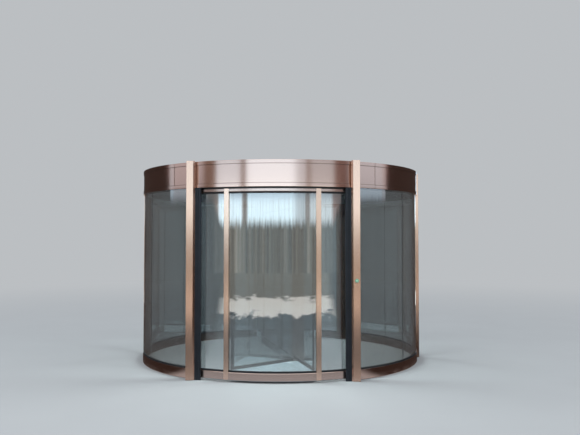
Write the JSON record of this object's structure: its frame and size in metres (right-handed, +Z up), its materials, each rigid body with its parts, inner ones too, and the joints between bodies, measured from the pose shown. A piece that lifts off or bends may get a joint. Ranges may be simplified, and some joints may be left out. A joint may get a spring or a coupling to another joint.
{
  "type": "two-wing revolving door",
  "caption": "Round glazed entrance drum with metal posts and fascia, and a turning rotor with curved glass arcs, glass showcases and a pair of sliding leaves.",
  "frame": {"origin": "on the drum axis at floor level", "axes": "+Z up along the axis the rotor turns about, -Y to the outside of the building, +X to the right seen from outside"},
  "size_m": [3.87, 3.8, 2.556],
  "materials": {
    "bronze_frame": "bronze coloured metal, brushed upright, satin",
    "bronze_fascia": "bronze coloured sheet, brushed lengthwise, semi bright",
    "bronze_rotor": "bronze coloured metal, satin",
    "safety_rubber": "matt rubber with a soft sheen",
    "seal_rubber": "matt silicone",
    "brush_fibre": "dense bristle",
    "drum_glass": "clear, faint blue green tint",
    "rotor_glass": "clear, faint blue tint",
    "ceiling_panel": "white satin paint",
    "showcase_panel": "pale blue white satin",
    "roof_sheet": "brown paint, satin",
    "beam_steel": "mill finish",
    "button_green": "glossy"
  },
  "bodies": {
    "drum": {"post_front_left": "bronze_frame", "post_front_right": "bronze_frame", "post_rear_left": "bronze_frame", "post_rear_right": "bronze_frame", "wall_post_left": "bronze_frame", "wall_post_right": "bronze_frame", "plinth_front_left": "bronze_frame", "plinth_front_right": "bronze_frame", "plinth_rear_left": "bronze_frame", "plinth_rear_right": "bronze_frame", "fascia_front": "bronze_fascia", "fascia_rear": "bronze_fascia", "fascia_front_left": "bronze_fascia", "fascia_front_right": "bronze_fascia", "fascia_rear_left": "bronze_fascia", "fascia_rear_right": "bronze_fascia", "safety_edges_front": "safety_rubber", "safety_edges_rear": "safety_rubber", "glass_front_left": "drum_glass", "glass_front_right": "drum_glass", "glass_rear_left": "drum_glass", "glass_rear_right": "drum_glass", "glazing_seals": "seal_rubber", "roof_cover": "roof_sheet", "bridge_beam": "beam_steel", "bearing_housing": "beam_steel", "push_button": "button_green"},
    "rotor": {"rotor_ceiling": "ceiling_panel", "arc_foot_rails": "bronze_rotor", "arc_head_rails": "bronze_rotor", "arc_stiles_front": "bronze_rotor", "arc_stiles_rear": "bronze_rotor", "arc_glass_front": "rotor_glass", "arc_glass_rear": "rotor_glass", "arc_seals": "seal_rubber", "showcase_floors": "showcase_panel", "showcase_glass_front": "rotor_glass", "showcase_glass_rear": "rotor_glass", "showcase_seals": "seal_rubber", "wing_portal": "bronze_rotor", "brush_strips": "brush_fibre"},
    "leaf_front": {"leaf_front_frame": "bronze_rotor", "leaf_front_glass": "rotor_glass"},
    "leaf_rear": {"leaf_rear_frame": "bronze_rotor", "leaf_rear_glass": "rotor_glass"}
  },
  "joints": [
    {"name": "rotor_spin", "type": "hinge", "parent": "drum", "child": "rotor", "pos_m": [0, 0, 0], "axis": [0, 0, 1], "continuous": true},
    {"name": "leaf_front_slide", "type": "slide", "parent": "rotor", "child": "leaf_front", "axis": [0.289, -0.9573, 0], "range_m": [0, 0.6]},
    {"name": "leaf_rear_slide", "type": "slide", "parent": "rotor", "child": "leaf_rear", "axis": [-0.289, 0.9573, 0], "range_m": [0, 0.6]}
  ]
}
